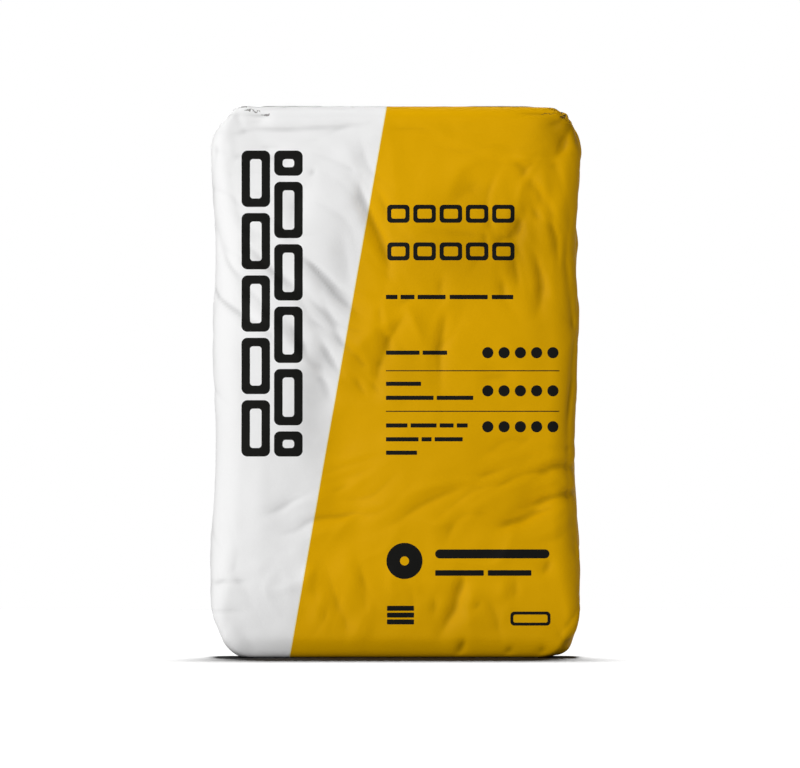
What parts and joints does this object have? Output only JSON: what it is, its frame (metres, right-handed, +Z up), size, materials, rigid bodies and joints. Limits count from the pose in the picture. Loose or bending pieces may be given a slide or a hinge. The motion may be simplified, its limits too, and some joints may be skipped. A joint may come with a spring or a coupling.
{
  "type": "cement bag",
  "caption": "Filled upright block-end plastic valve sack for cement powder, with rounded swelling sides, flat glued end strips and a flat filling sleeve in one top corner.",
  "frame": {"origin": "on the floor under the middle of the sack's bounding box, which is the middle of the bottom end strip", "axes": "+Z up along the sack's height, +X to the right of the printed front, and the front looks towards -Y"},
  "size_m": [0.368, 0.1178, 0.55],
  "materials": {
    "film": "satin water-resistant film, printed yellow and white",
    "end_strip": "satin white film",
    "sleeve": "matt off-white film",
    "powder": "fine grey powder"
  },
  "bodies": {
    "root": {"sack": "film", "top_patch": "end_strip", "bottom_patch": "end_strip", "valve_sleeve": "sleeve", "cement_fill": "powder"}
  },
  "joints": []
}
